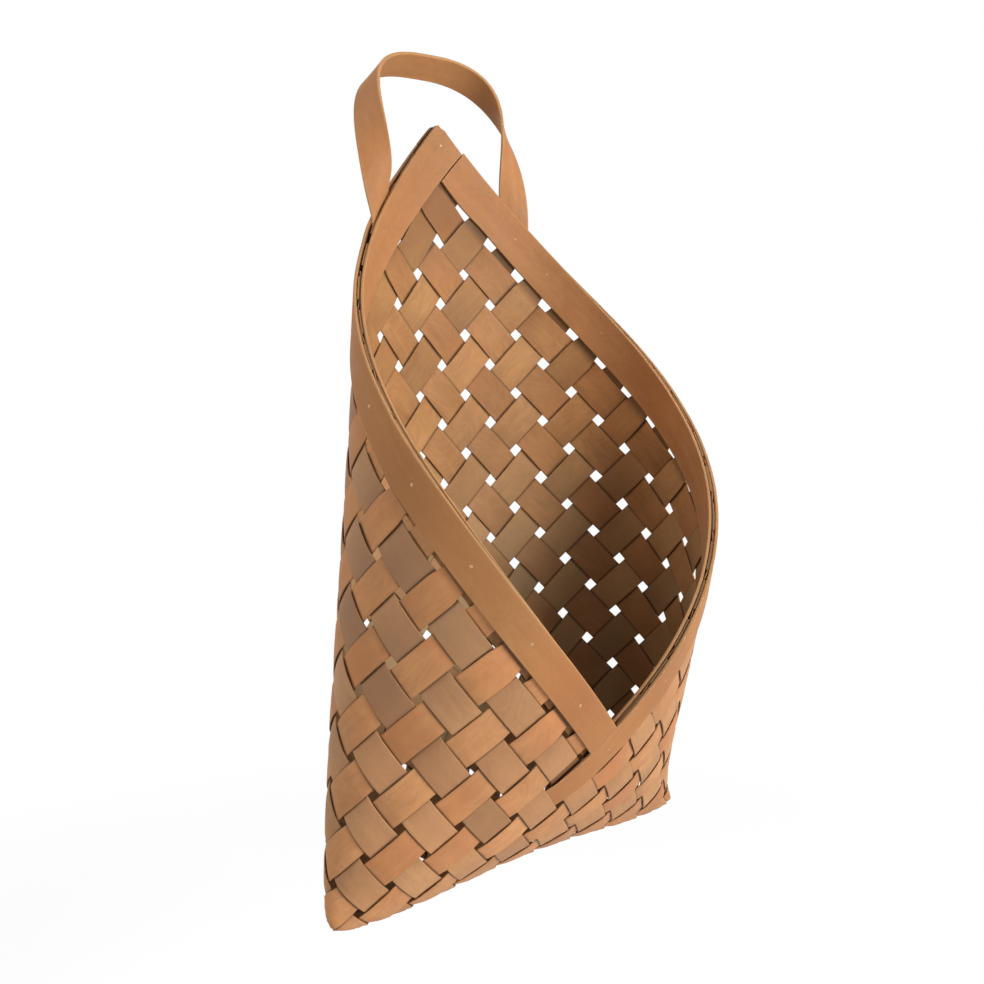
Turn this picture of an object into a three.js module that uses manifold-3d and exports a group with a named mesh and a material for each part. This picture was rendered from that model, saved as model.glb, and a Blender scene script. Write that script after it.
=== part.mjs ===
// A hanging envelope basket plaited on the bias from flat wooden splints.
// Two sheets share a fold at the bottom and close at both sides. The mouth is
// edged by two rims that start at the peak of the back and cross on the front.
// Millimetres, +Z up, the back towards +Y. The origin is under the crown of the loop.
import * as THREE from 'three';
import { mergeVertices } from 'three/addons/utils/BufferGeometryUtils.js';
import Module from 'manifold-3d';

// Splints and weave
const PITCH = 24; // from one splint to the next
const SPLINT_GAP = 5; // open space between neighbours
const SPLINT_WIDTH = PITCH - SPLINT_GAP;
const SPLINT_THICK = 1;
const CROSS_CLEAR = 0.35; // air between two splints where they cross
const ROUND = 18; // splints of one set, counted once round the basket
const FRONT_ROWS = 6; // half steps from the crossing of the rims down to the fold

// Shape of the opened sheet, following the pitch
const BELLY_HALF = 1.87 * PITCH; // half depth that the foot opens out to
const FOOT_ROUND = 1.37 * PITCH; // height over which the foot opens
const FLARE = 0.238; // half depth gained for each unit of height at the fold
const FLARE_HEIGHT = 14.4 * PITCH; // height over which the flare levels off
const BACK_SHARE = 0.42; // part of the depth that lies behind the widest line
const FOLD_SETBACK = 2.47 * PITCH; // how far the fold stands off the wall
const FOLD_ARCH = 0.7 * PITCH; // middle of the fold above its two tips
const FOLD_RADIUS = 0.13 * PITCH;
const TIP_RISE = 0.6 * PITCH; // how far the tips of the fold are drawn up
const TIP_HEIGHT = PITCH; // height over which that dies away
const TIP_POWER = 4; // over one, it stays near the tips
const TIP_HOLE = 0.32 * PITCH; // radius of the open corner at each tip of the fold
const FOOT_SQUEEZE = 0.168; // part of the girth that is gathered at the fold
const SQUEEZE_HEIGHT = 3.71 * PITCH;

// Rim bands
const BAND_WIDTH = 0.8 * PITCH; // outer bands
const INNER_WIDTH = 0.95 * PITCH; // inner bands reach down over the first holes
const BAND_INSET = 0.15 * PITCH; // from the first row of holes to an outer band
const BAND_THICK = 2;
const RIM_CLEAR = 0.7; // air between the weave and a band
const BUTT_CLEAR = 0.5; // air where one band ends against another
const TUCK = 0.04 * PITCH; // splint ends stop this far inside the band's free edge
const PEAK_TRIM = 0.07 * PITCH; // band ends cut back from the corner of the peak
const TAIL = 1.2 * PITCH; // right outer band past the crossing of the rims
const BORDER_STOP = 4; // splints from the peak at which the border splints stop

// Carrying loop
const STRAP_WIDTH = 17.5;
const STRAP_THICK = 2;
const STRAP_CLEAR = 0.3; // air round the thinned strap ends in the rim
const LEG_SPREAD = 2.05 * PITCH; // middle of the basket to the middle of a leg
const LEG_MARGIN = 0.1 * PITCH; // legs stay flat this far past the rim
const LOOP_RISE = 3.24 * PITCH; // crown above the top of the legs
const LOOP_LEAN = 0.91 * PITCH; // crown behind the top of the legs
const SHOULDER_UP = 1.7 * PITCH; // pull of the legs on the curve of the loop
const SHOULDER_ACROSS = 2.21 * PITCH; // pull of the crown on the curve of the loop
const CROWN_FLAT = 10; // straight middle of the crown
const CROWN_TILT = THREE.MathUtils.degToRad(34); // front edge of the crown above the back edge
const LEFT_EASE = 0.46; // under one, the left half of the strap twists early on its way up
const RIGHT_EASE = 0.66;
const SLANT_POWER = 4; // over one, the strap squares up soon after it leaves the slanting rim
const THICKEN_END = 0.5; // share of the way up at which the strap has its full thickness

// Brads
const SHANK_RADIUS = 0.7;
const HOLE_CLEAR = 0.3;
const HEAD_RADIUS = 1.6;
const CLINCH_RADIUS = 1.3; // flattened tip on the inside
const HEAD_THICK = 0.7;
const HEAD_CLEAR = 0.3; // air between a head and the band under it
const BRAD_STEP = 2; // splints from one brad to the next
const BRAD_SIDES = 6;

// Fineness of the facets
const HEIGHT_STEPS = 160;
const HEIGHT_GRADING = 1.7; // closer steps near the fold
const OUTLINE_STEPS = 180;
const COLUMN_STEPS = 144;
const SPARE_ROWS = 3; // half steps of sheet worked out above the peak
const NORMAL_REACH = PITCH / 10; // distance over which the slope of the sheet is taken
const BEND_STEP = THREE.MathUtils.degToRad(30); // turn of the sheet that one facet may span
const MOST_FACETS = 3;
const BAND_FACET = 0.5; // band facet length in pitches
const LEG_FACETS = 3;
const LOOP_FACETS = 12;
const TIP_SIDES = 10;

// Worked out from the sizes above
const HALF_STEP = PITCH / Math.SQRT2;
const FOLD_ROW = ROUND - 1 + FRONT_ROWS;
const TOP_HEIGHT = (FOLD_ROW + SPARE_ROWS) * HALF_STEP;
const HALF_SPLINT = SPLINT_WIDTH / PITCH / 2;
const WEAVE_LIFT = (SPLINT_THICK + CROSS_CLEAR) / 2;
const WEAVE_HALF = WEAVE_LIFT + SPLINT_THICK / 2;
const BAND_FACE = WEAVE_HALF + RIM_CLEAR;
const BAND_LIFT = BAND_FACE + BAND_THICK / 2;
const BAND_LOW = -BAND_INSET / PITCH;
const BAND_HIGH = BAND_LOW - BAND_WIDTH / PITCH;
const BAND_MIDDLE = (BAND_LOW + BAND_HIGH) / 2;
const INNER_LOW = BAND_HIGH + INNER_WIDTH / PITCH;
const PEAK_END = BAND_HIGH + PEAK_TRIM / PITCH;
const SPLINT_END = BAND_HIGH + TUCK / PITCH;
const LEG_FLOOR = SPLINT_THICK / 2 - WEAVE_LIFT + STRAP_CLEAR;
const LEG_CEILING = BAND_FACE - STRAP_CLEAR;

const wasm = await Module();
wasm.setup();

const clamp = THREE.MathUtils.clamp;
const lerp = THREE.MathUtils.lerp;

// Half of the outline of the sheet at one height, from the middle of the back
// round one side to the middle of the front, as evenly spaced points.
function outlineAt(height) {
  const opened = 1 - Math.exp(-height / FOOT_ROUND);
  const flared = FLARE * FLARE_HEIGHT * (1 - Math.exp(-height / FLARE_HEIGHT));
  const depth = 2 * (BELLY_HALF * opened + flared);
  const under = Math.min(height, FOLD_RADIUS);
  const round = Math.sqrt(under * (2 * FOLD_RADIUS - under));
  const wall = -FOLD_SETBACK * (1 - opened);
  const girth = ROUND * HALF_STEP * (1 - FOOT_SQUEEZE * Math.exp(-height / SQUEEZE_HEIGHT));
  const middle = wall - round - BACK_SHARE * depth;
  const lop = 0.5 - BACK_SHARE;

  // An egg, fuller at the front, grown outwards by the radius of the fold
  const trace = (halfWidth) => {
    const points = [];
    const lengths = [0];
    for (let k = 0; k <= OUTLINE_STEPS; k += 1) {
      const turn = (Math.PI * k) / OUTLINE_STEPS;
      const [sine, cosine] = [Math.sin(turn), Math.cos(turn)];
      const normal = new THREE.Vector2(depth * sine * (0.5 - 2 * lop * cosine), halfWidth * cosine);
      const point = new THREE.Vector2(halfWidth * sine, depth * cosine * (0.5 - lop * cosine));
      points.push(point.addScaledVector(normal.normalize(), round));
      if (k > 0) lengths.push(lengths[k - 1] + points[k].distanceTo(points[k - 1]));
    }
    return { points, lengths };
  };

  // The half width is halved in on until two neighbouring numbers hold it
  let narrow = 0;
  let wide = girth;
  let guess = (narrow + wide) / 2;
  while (guess > narrow && guess < wide) {
    if (trace(guess).lengths[OUTLINE_STEPS] > girth) wide = guess;
    else narrow = guess;
    guess = (narrow + wide) / 2;
  }

  const { points, lengths } = trace(narrow);
  const even = [];
  let at = 0;
  for (let column = 0; column <= COLUMN_STEPS; column += 1) {
    const wanted = (lengths[OUTLINE_STEPS] * column) / COLUMN_STEPS;
    while (at < OUTLINE_STEPS - 1 && lengths[at + 1] < wanted) at += 1;
    const part = (wanted - lengths[at]) / (lengths[at + 1] - lengths[at]);
    const spot = points[at].clone().lerp(points[at + 1], part);
    even.push(new THREE.Vector3(spot.x, spot.y + middle, height));
  }
  return even;
}

const heightOf = (k) => TOP_HEIGHT * (k / HEIGHT_STEPS) ** HEIGHT_GRADING;

// Upright lines of the sheet with the length run along each from the fold
function uprightLines() {
  const lines = [];
  for (let column = 0; column <= COLUMN_STEPS; column += 1) lines.push({ points: [], run: [] });
  let tip = 0;
  for (let k = 0; k <= HEIGHT_STEPS; k += 1) {
    const outline = outlineAt(heightOf(k));
    if (k === 0) tip = Math.max(...outline.map((point) => point.x));
    outline.forEach((point, column) => {
      point.z += FOLD_ARCH * (1 - (point.x / tip) ** 2);
      const { points, run } = lines[column];
      run.push(k === 0 ? 0 : run[k - 1] + point.distanceTo(points[k - 1]));
      points.push(point);
    });
  }

  // The tips are drawn up last, which crowds the splints there
  for (const { points } of lines) {
    points.forEach((point, k) => {
      point.z += TIP_RISE * (point.x / tip) ** TIP_POWER * Math.exp(-heightOf(k) / TIP_HEIGHT);
    });
  }
  return lines;
}

const UPRIGHTS = uprightLines();

function alongUpright(column, run) {
  const line = UPRIGHTS[column];
  let low = 0;
  let high = HEIGHT_STEPS;
  while (high - low > 1) {
    const middle = Math.floor((low + high) / 2);
    if (line.run[middle] > run) high = middle;
    else low = middle;
  }
  const part = (run - line.run[low]) / (line.run[high] - line.run[low]);
  return line.points[low].clone().lerp(line.points[high], part);
}

// Point of the sheet: round the basket in half steps from the middle of the
// back, and up from the fold. Below the fold the other sheet goes on.
function sheetPoint(around, up) {
  const mirrored = up < 0 ? ROUND - around : around;
  const wrapped = mirrored - 2 * ROUND * Math.round(mirrored / (2 * ROUND));
  const place = (Math.abs(wrapped) / ROUND) * COLUMN_STEPS;
  const column = Math.min(Math.floor(place), COLUMN_STEPS - 1);
  const point = alongUpright(column, Math.abs(up));
  point.lerp(alongUpright(column + 1, Math.abs(up)), place - column);
  if (wrapped < 0) point.x = -point.x;
  return point;
}

function sheetNormal(around, up) {
  const side = NORMAL_REACH / HALF_STEP;
  const across = sheetPoint(around + side, up).sub(sheetPoint(around - side, up));
  const rise = sheetPoint(around, up + NORMAL_REACH).sub(sheetPoint(around, up - NORMAL_REACH));
  return rise.cross(across).normalize();
}

// Place in the weave: lane counts from the left rim, row from the right rim
function weavePlace(lane, row) {
  const around = lane - row;
  const up = (FOLD_ROW - lane - row) * HALF_STEP;
  if (up < 0) return { around: ROUND - around, up: -up };
  return { around, up };
}

function weaveSpot(lane, row) {
  const { around, up } = weavePlace(lane, row);
  return { point: sheetPoint(around, up), normal: sheetNormal(around, up) };
}

// Facets along each side of the crossing at one cell, by the bend of the sheet there
function facetsAt(lane, row) {
  const middle = weaveSpot(lane, row).normal;
  let bend = 0;
  for (const a of [-HALF_SPLINT, HALF_SPLINT]) {
    for (const b of [-HALF_SPLINT, HALF_SPLINT]) {
      bend = Math.max(bend, middle.angleTo(weaveSpot(lane + a, row + b).normal));
    }
  }
  return clamp(Math.ceil(bend / BEND_STEP), 1, MOST_FACETS);
}

// Closed strip through cross lines. A cross line lists its stations from one
// edge to the other, each with its outer and inner point.
function stripGeometry(lines) {
  const points = [];
  const faces = [];
  const outer = [];
  const inner = [];
  const places = lines.map((line) => line.map((station) => station.place));
  for (const line of lines) {
    outer.push(line.map((station) => points.push(station.outer) - 1));
    inner.push(line.map((station) => points.push(station.inner) - 1));
  }

  const sew = (first, second, firstPlaces, secondPlaces, flip) => {
    let a = 0;
    let b = 0;
    while (a < first.length - 1 || b < second.length - 1) {
      const onSecond = a === first.length - 1
        || (b < second.length - 1 && secondPlaces[b + 1] <= firstPlaces[a + 1]);
      const third = onSecond ? second[b + 1] : first[a + 1];
      faces.push(flip ? [second[b], first[a], third] : [first[a], second[b], third]);
      if (onSecond) b += 1;
      else a += 1;
    }
  };
  const pair = [0, 1];
  for (let k = 0; k + 1 < lines.length; k += 1) {
    sew(outer[k], outer[k + 1], places[k], places[k + 1], false);
    sew(inner[k], inner[k + 1], places[k], places[k + 1], true);
    const ends = [
      [outer[k][0], inner[k][0], outer[k + 1][0], inner[k + 1][0], true],
      [outer[k].at(-1), inner[k].at(-1), outer[k + 1].at(-1), inner[k + 1].at(-1), false],
    ];
    for (const [top, low, nextTop, nextLow, flip] of ends) {
      sew([top, low], [nextTop, nextLow], pair, pair, flip);
    }
  }
  sew(outer[0], inner[0], places[0], places[0], true);
  sew(outer.at(-1), inner.at(-1), places.at(-1), places.at(-1), false);
  return facing(points, faces);
}

// Geometry from points and faces, turned so that the faces point out
function facing(points, faces) {
  let volume = 0;
  for (const [a, b, c] of faces) {
    volume += points[a].dot(points[b].clone().cross(points[c]));
  }
  const index = faces.flatMap(([a, b, c]) => (volume > 0 ? [a, b, c] : [a, c, b]));
  const geometry = new THREE.BufferGeometry().setFromPoints(points);
  geometry.setIndex(index);
  return geometry;
}

function station(place, point, normal, lift, thick) {
  return {
    place,
    outer: point.clone().addScaledVector(normal, lift + thick / 2),
    inner: point.clone().addScaledVector(normal, lift - thick / 2),
  };
}

// One splint. The walk turns its own run and the place across it into a lane
// and a row of the weave; sense is +1 where even cells lie on the outside.
function splintGeometry(walk, centre, start, stop, sense, tucked) {
  const lines = [];
  const cross = (run, facets, lift) => {
    const line = [];
    for (let k = 0; k <= facets; k += 1) {
      const place = (2 * k) / facets - 1;
      const { point, normal } = weaveSpot(...walk(centre + place * HALF_SPLINT, run));
      line.push(station(place, point, normal, lift, SPLINT_THICK));
    }
    lines.push(line);
  };
  for (let cell = Math.floor(start); cell < stop; cell += 1) {
    const from = Math.max(start, cell + 0.5 - HALF_SPLINT);
    const to = Math.min(stop, cell + 0.5 + HALF_SPLINT);
    if (to > from) {
      const even = (Math.floor(centre) + cell) % 2 === 0;
      const outside = (even ? sense : -sense) > 0 && !(tucked && cell < 0);
      const facets = facetsAt(...walk(centre, cell + 0.5));
      for (let k = 0; k <= facets; k += 1) {
        cross(lerp(from, to, k / facets), facets, outside ? WEAVE_LIFT : -WEAVE_LIFT);
      }
    }
  }
  return stripGeometry(lines);
}

// Both ends of a splint lie in the same rim, so each one is named by the lane
// of its nearer end. The one whose far end meets the valley goes on in the other rim.
function splintRuns() {
  const runs = [];
  for (let lane = 0.5; lane < ROUND; lane += 1) {
    const partner = THREE.MathUtils.euclideanModulo(FOLD_ROW - ROUND / 2 - lane, ROUND);
    const turn = 2 * FOLD_ROW - lane - partner;
    const border = partner + 0.5 === ROUND;
    const stop = border ? turn + ROUND - BORDER_STOP : turn - SPLINT_END;
    if (lane < partner) runs.push({ lane, stop, tucked: lane < BORDER_STOP });
  }
  return runs;
}

const LEFT = (across, run) => [across, run];
const RIGHT = (across, run) => [run, across];

// Band on one rim, on the outside or the inside of the weave
function bandGeometry(walk, start, stop, side) {
  const lines = [];
  const low = side > 0 ? BAND_LOW : INNER_LOW;
  const count = Math.ceil((stop - start) / BAND_FACET);
  for (let k = 0; k <= count; k += 1) {
    const run = lerp(start, stop, k / count);
    lines.push([0, 0.5, 1].map((place) => {
      const across = lerp(BAND_HIGH, low, place);
      const { point, normal } = weaveSpot(...walk(across, run));
      return station(place, point, normal, side * BAND_LIFT, BAND_THICK);
    }));
  }
  return stripGeometry(lines);
}

// Middle of the left leg where it leaves the rim. The rim slants, so the edges leave above and below.
const LEG_AROUND = -LEG_SPREAD / HALF_STEP;
const LEG_HALF = STRAP_WIDTH / 2 / HALF_STEP;
const legTopRow = (around) => 2 * BAND_HIGH - around - LEG_MARGIN / HALF_STEP;
const LEG_TOP_UP = (FOLD_ROW - legTopRow(LEG_AROUND)) * HALF_STEP;
const LEG_THICK = LEG_CEILING - LEG_FLOOR;
const LEG_LIFT = (LEG_CEILING + LEG_FLOOR) / 2;
const LEG_TOP = sheetPoint(LEG_AROUND, LEG_TOP_UP)
  .addScaledVector(sheetNormal(LEG_AROUND, LEG_TOP_UP), LEG_LIFT);
const CROWN = new THREE.Vector3(
  -CROWN_FLAT / 2,
  LEG_TOP.y + LOOP_LEAN,
  LEG_TOP.z + LOOP_RISE,
);

// Way that the underside of the crown faces
const CROWN_FACING = new THREE.Vector3(0, -Math.sin(CROWN_TILT), -Math.cos(CROWN_TILT));

// Half of the loop: a thinned leg flat in the rim, then about a quarter twist,
// so that the underside of the crown rests on a hook.
function loopHalf(easing) {
  const half = [];
  const places = [-1, 0, 1];
  for (let k = 0; k <= LEG_FACETS; k += 1) {
    half.push(places.map((place) => {
      const around = LEG_AROUND + place * LEG_HALF;
      const footRow = 2 * BAND_LOW - TUCK / PITCH - around;
      const row = lerp(footRow, legTopRow(around), k / LEG_FACETS);
      const up = (FOLD_ROW - row) * HALF_STEP;
      return station(place, sheetPoint(around, up), sheetNormal(around, up), LEG_LIFT, LEG_THICK);
    }));
  }

  const legNormal = sheetNormal(LEG_AROUND, LEG_TOP_UP);
  const legTwist = Math.atan2(-legNormal.x, legNormal.y);
  const path = new THREE.CubicBezierCurve3(
    LEG_TOP,
    LEG_TOP.clone().add(new THREE.Vector3(0, 0, SHOULDER_UP)),
    CROWN.clone().sub(new THREE.Vector3(SHOULDER_ACROSS, 0, 0)),
    CROWN,
  );
  for (let k = 1; k <= LOOP_FACETS; k += 1) {
    const part = k / LOOP_FACETS;
    const ease = THREE.MathUtils.smoothstep(part ** easing, 0, 1);
    const twist = lerp(legTwist, -Math.PI / 2, ease);
    const tilt = CROWN_TILT * ease;
    const tangent = path.getTangent(part);
    const across = new THREE.Vector3(Math.cos(twist), Math.sin(twist), Math.tan(tilt));
    across.addScaledVector(tangent, -across.dot(tangent)).normalize();
    const normal = tangent.clone().cross(across);
    const thick = lerp(LEG_THICK, STRAP_THICK, Math.min(1, part / THICKEN_END));
    const centre = path.getPoint(part);
    across.addScaledVector(tangent, (1 - part) ** SLANT_POWER);
    half.push(places.map((place) => {
      const point = centre.clone().addScaledVector(across, (place * STRAP_WIDTH) / 2);
      return station(place, point, normal, 0, thick);
    }));
  }

  return half;
}

function loopGeometry() {
  const flipped = (point) => new THREE.Vector3(-point.x, point.y, point.z);
  const mirrored = loopHalf(RIGHT_EASE).toReversed().map((line) => line.map((spot) => ({
    place: spot.place,
    outer: flipped(spot.outer),
    inner: flipped(spot.inner),
  })));
  return stripGeometry([...loopHalf(LEFT_EASE), ...mirrored]);
}

// Brad with its head outside and its clinched tip inside, along the axis +Y
function bradGeometry() {
  const face = BAND_FACE + BAND_THICK + HEAD_CLEAR;
  const profile = [
    [0, -face - HEAD_THICK],
    [CLINCH_RADIUS, -face - HEAD_THICK / 2],
    [CLINCH_RADIUS, -face],
    [SHANK_RADIUS, -face],
    [SHANK_RADIUS, face],
    [HEAD_RADIUS, face],
    [HEAD_RADIUS, face + HEAD_THICK / 2],
    [0, face + HEAD_THICK],
  ];
  return turned(profile);
}

function holeGeometry() {
  const reach = BAND_FACE + BAND_THICK + HEAD_CLEAR / 2;
  const radius = SHANK_RADIUS + HOLE_CLEAR;
  return turned([[0, -reach], [radius, -reach], [radius, reach], [0, reach]]);
}

// Closed turned body about +Y
function turned(profile) {
  const points = [];
  const faces = [];
  const rings = profile.map(([radius, height]) => {
    const ring = [];
    for (let k = 0; k < BRAD_SIDES; k += 1) {
      const angle = (2 * Math.PI * k) / BRAD_SIDES;
      const spot = new THREE.Vector3(radius * Math.cos(angle), height, radius * Math.sin(angle));
      ring.push(radius > 0 || k === 0 ? points.push(spot) - 1 : ring[0]);
    }
    return ring;
  });
  for (let r = 0; r + 1 < rings.length; r += 1) {
    for (let k = 0; k < BRAD_SIDES; k += 1) {
      const next = (k + 1) % BRAD_SIDES;
      const [a, b, c, d] = [rings[r][k], rings[r][next], rings[r + 1][next], rings[r + 1][k]];
      if (a !== b) faces.push([a, c, b]);
      if (c !== d) faces.push([a, d, c]);
    }
  }
  return facing(points, faces);
}

// Ball that leaves each tip of the fold open, so that the splints can turn round it
function tipGeometry(side) {
  const ball = new THREE.SphereGeometry(TIP_HOLE, TIP_SIDES, TIP_SIDES / 2);
  ball.deleteAttribute('normal');
  ball.deleteAttribute('uv');
  const tip = sheetPoint((side * ROUND) / 2, 0);
  const merged = mergeVertices(ball).translate(tip.x, tip.y, tip.z);
  merged.computeBoundingBox();
  return merged;
}

// Each brad of a rim goes through the middle of a splint
function bradPlaces() {
  const places = [];
  const last = ROUND - BRAD_STEP;
  const first = Math.round(BORDER_STOP) - 0.5;
  for (let run = first; run < last; run += BRAD_STEP) {
    places.push({ name: `brad_left_${Math.floor(run)}`, spot: LEFT(BAND_MIDDLE, run) });
    places.push({ name: `brad_right_${Math.floor(run)}`, spot: RIGHT(BAND_MIDDLE, run) });
  }
  const leg = BAND_MIDDLE - LEG_AROUND;
  places.push({ name: 'brad_loop_left', spot: LEFT(BAND_MIDDLE, leg) });
  places.push({ name: 'brad_loop_right', spot: RIGHT(BAND_MIDDLE, leg) });
  places.push({ name: 'brad_peak', spot: LEFT(BAND_MIDDLE, BAND_MIDDLE) });
  places.push({ name: 'brad_valley', spot: LEFT(BAND_MIDDLE, ROUND + BAND_MIDDLE) });
  return places;
}

// Cutting with closed meshes
function solidOf(geometry) {
  return new wasm.Manifold(new wasm.Mesh({
    numProp: 3,
    vertProperties: new Float32Array(geometry.attributes.position.array),
    triVerts: new Uint32Array(geometry.index.array),
  }));
}

function geometryOf(solid) {
  const { vertProperties, triVerts } = solid.getMesh();
  const geometry = new THREE.BufferGeometry();
  geometry.setAttribute('position', new THREE.BufferAttribute(vertProperties, 3));
  geometry.setIndex(new THREE.BufferAttribute(triVerts, 1));
  return geometry;
}

function cutBy(geometry, cutters) {
  geometry.computeBoundingBox();
  const met = cutters.filter((cutter) => cutter.boundingBox.intersectsBox(geometry.boundingBox));
  if (met.length === 0) return geometry;
  return geometryOf(met.reduce((solid, cutter) => solid.subtract(solidOf(cutter)), solidOf(geometry)));
}

const WOOD_ROUGHNESS = 0.62;
const STEEL_ROUGHNESS = 0.4;
const STEEL_METALNESS = 0.8;
const GREY_SPLINT = new THREE.MeshStandardMaterial({ color: '#9c6f49', roughness: WOOD_ROUGHNESS });
const WARM_SPLINT = new THREE.MeshStandardMaterial({ color: '#b3763f', roughness: WOOD_ROUGHNESS });
const BAND_WOOD = new THREE.MeshStandardMaterial({ color: '#b57d4c', roughness: WOOD_ROUGHNESS });
const BRAD_STEEL = new THREE.MeshStandardMaterial({
  color: '#b9a58c',
  roughness: STEEL_ROUGHNESS,
  metalness: STEEL_METALNESS,
});

const basket = new THREE.Group();
const BRAD_AXIS = new THREE.Vector3(0, 1, 0);

const holes = bradPlaces().map(({ name, spot }) => {
  const { point, normal } = weaveSpot(...spot);
  const turn = new THREE.Quaternion().setFromUnitVectors(BRAD_AXIS, normal);
  const brad = new THREE.Mesh(bradGeometry(), BRAD_STEEL);
  brad.name = name;
  brad.position.copy(point);
  brad.quaternion.copy(turn);
  basket.add(brad);
  const hole = holeGeometry().applyQuaternion(turn).translate(point.x, point.y, point.z);
  hole.computeBoundingBox();
  return hole;
});

const cutters = [...holes, tipGeometry(-1), tipGeometry(1)];

function addWood(name, geometry, material) {
  const wood = cutBy(geometry, cutters);
  wood.computeVertexNormals();
  const mesh = new THREE.Mesh(wood, material);
  mesh.name = name;
  basket.add(mesh);
}

for (const { lane, stop, tucked } of splintRuns()) {
  const number = Math.ceil(lane);
  const right = splintGeometry(LEFT, lane, SPLINT_END, stop, 1, tucked);
  addWood(`splint_right_${number}`, right, GREY_SPLINT);
  const left = splintGeometry(RIGHT, lane, SPLINT_END, stop, -1, tucked);
  addWood(`splint_left_${number}`, left, WARM_SPLINT);
}

const BUTT = BUTT_CLEAR / PITCH;
const VALLEY = ROUND + BAND_HIGH - BUTT;
addWood('band_left_inner', bandGeometry(LEFT, PEAK_END, ROUND + INNER_LOW, -1), BAND_WOOD);
addWood('band_left_outer', bandGeometry(LEFT, BAND_LOW + BUTT, VALLEY, 1), BAND_WOOD);
addWood('band_right_inner', bandGeometry(RIGHT, INNER_LOW + BUTT, VALLEY, -1), BAND_WOOD);
addWood('band_right_outer', bandGeometry(RIGHT, PEAK_END, ROUND + TAIL / PITCH, 1), BAND_WOOD);
addWood('loop', loopGeometry(), BAND_WOOD);

basket.position.set(0, -CROWN.y, -CROWN.z).addScaledVector(CROWN_FACING, -STRAP_THICK / 2);

const part = new THREE.Group();
part.add(basket);

export default part;
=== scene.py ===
# %% [markdown]
# # A hanging envelope basket
# The basket is plaited on the bias from flat wooden splints. Its two sheets share a fold at the
# bottom, and the mouth is edged by two rims that start at the peak of the back and cross on the
# front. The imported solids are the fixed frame: every piece made here lies where its solid lies.

# %% Load the frame
import math

import bpy
import numpy as np
from mathutils import Matrix, Vector


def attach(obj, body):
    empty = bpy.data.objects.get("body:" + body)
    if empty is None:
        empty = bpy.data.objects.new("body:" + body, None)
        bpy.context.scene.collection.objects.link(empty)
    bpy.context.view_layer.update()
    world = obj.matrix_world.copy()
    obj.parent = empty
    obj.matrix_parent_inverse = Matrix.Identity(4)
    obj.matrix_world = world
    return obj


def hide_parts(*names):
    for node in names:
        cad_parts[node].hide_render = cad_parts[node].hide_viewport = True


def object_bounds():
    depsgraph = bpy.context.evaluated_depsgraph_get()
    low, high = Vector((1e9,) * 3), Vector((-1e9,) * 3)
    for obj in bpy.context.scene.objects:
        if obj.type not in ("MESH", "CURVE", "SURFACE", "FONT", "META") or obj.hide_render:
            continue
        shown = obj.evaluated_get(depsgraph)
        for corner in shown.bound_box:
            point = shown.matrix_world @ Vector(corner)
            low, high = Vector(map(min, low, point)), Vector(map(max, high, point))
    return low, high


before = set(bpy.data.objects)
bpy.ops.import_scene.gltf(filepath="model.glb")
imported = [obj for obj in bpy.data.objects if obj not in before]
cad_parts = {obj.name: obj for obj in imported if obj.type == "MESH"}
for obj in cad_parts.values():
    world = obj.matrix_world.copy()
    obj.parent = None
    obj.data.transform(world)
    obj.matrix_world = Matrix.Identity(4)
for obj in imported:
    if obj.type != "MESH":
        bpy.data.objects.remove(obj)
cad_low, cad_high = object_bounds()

print("frame nodes:", len(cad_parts), "box", tuple(cad_low), tuple(cad_high))

# %% [markdown]
# ## Sizes
# A weaver counts in splints, so almost every size hangs on the pitch of the weave. The sizes are
# those of the solids, in metres. Splints here are a little thinner than the solids and bend
# smoothly, because a bent splint arches over its neighbour instead of lying in straight steps.

# %% Sizes of the weave and of the sheet
PITCH = 0.024
SPLINT_WIDTH = 0.019
SPLINT_THICK = 0.00085
SPLINT_EDGE = SPLINT_THICK / 3
ROUND = 18
FRONT_ROWS = 6
BELLY_HALF = 1.87 * PITCH
FOOT_ROUND = 1.37 * PITCH
FLARE = 0.238
FLARE_HEIGHT = 14.4 * PITCH
BACK_SHARE = 0.42
FOLD_SETBACK = 2.47 * PITCH
FOLD_ARCH = 0.7 * PITCH
FOLD_RADIUS = 0.13 * PITCH
TIP_RISE = 0.6 * PITCH
TIP_HEIGHT = PITCH
TIP_POWER = 4
FOOT_SQUEEZE = 0.168
SQUEEZE_HEIGHT = 3.71 * PITCH

HALF_STEP = PITCH / math.sqrt(2)
FOLD_ROW = ROUND - 1 + FRONT_ROWS
print("half step", round(HALF_STEP * 1000, 2), "mm, rows to the fold", FOLD_ROW)

# %% Sizes of the rims
BAND_WIDTH = 0.8 * PITCH
INNER_WIDTH = 0.95 * PITCH
PEAK_TRIM = 0.07 * PITCH
BAND_INSET = 0.15 * PITCH
TUCK = 0.04 * PITCH
BUTT_CLEAR = 0.0005
BORDER_STOP = 4

BAND_LOW = -BAND_INSET / PITCH
BAND_HIGH = BAND_LOW - BAND_WIDTH / PITCH
BAND_MIDDLE = (BAND_LOW + BAND_HIGH) / 2
INNER_LOW = BAND_HIGH + INNER_WIDTH / PITCH
PEAK_END = BAND_HIGH + PEAK_TRIM / PITCH
SPLINT_END = BAND_HIGH + TUCK / PITCH / 2
print("outer bands lie in lanes", round(BAND_HIGH, 2), "to", round(BAND_LOW, 2))

# %% [markdown]
# ## The opened sheet
# The weave lies on one smooth surface: a flattened tube that is shut by the fold. A sculpted mesh
# could be drawn over the photograph, but a formula keeps the splints at their true spacing. Each
# level section is an egg, fuller at the front and grown by the radius of the fold. Its width follows
# from the girth, which is a fixed count of splints, so the tube opens and flares unstretched.

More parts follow.
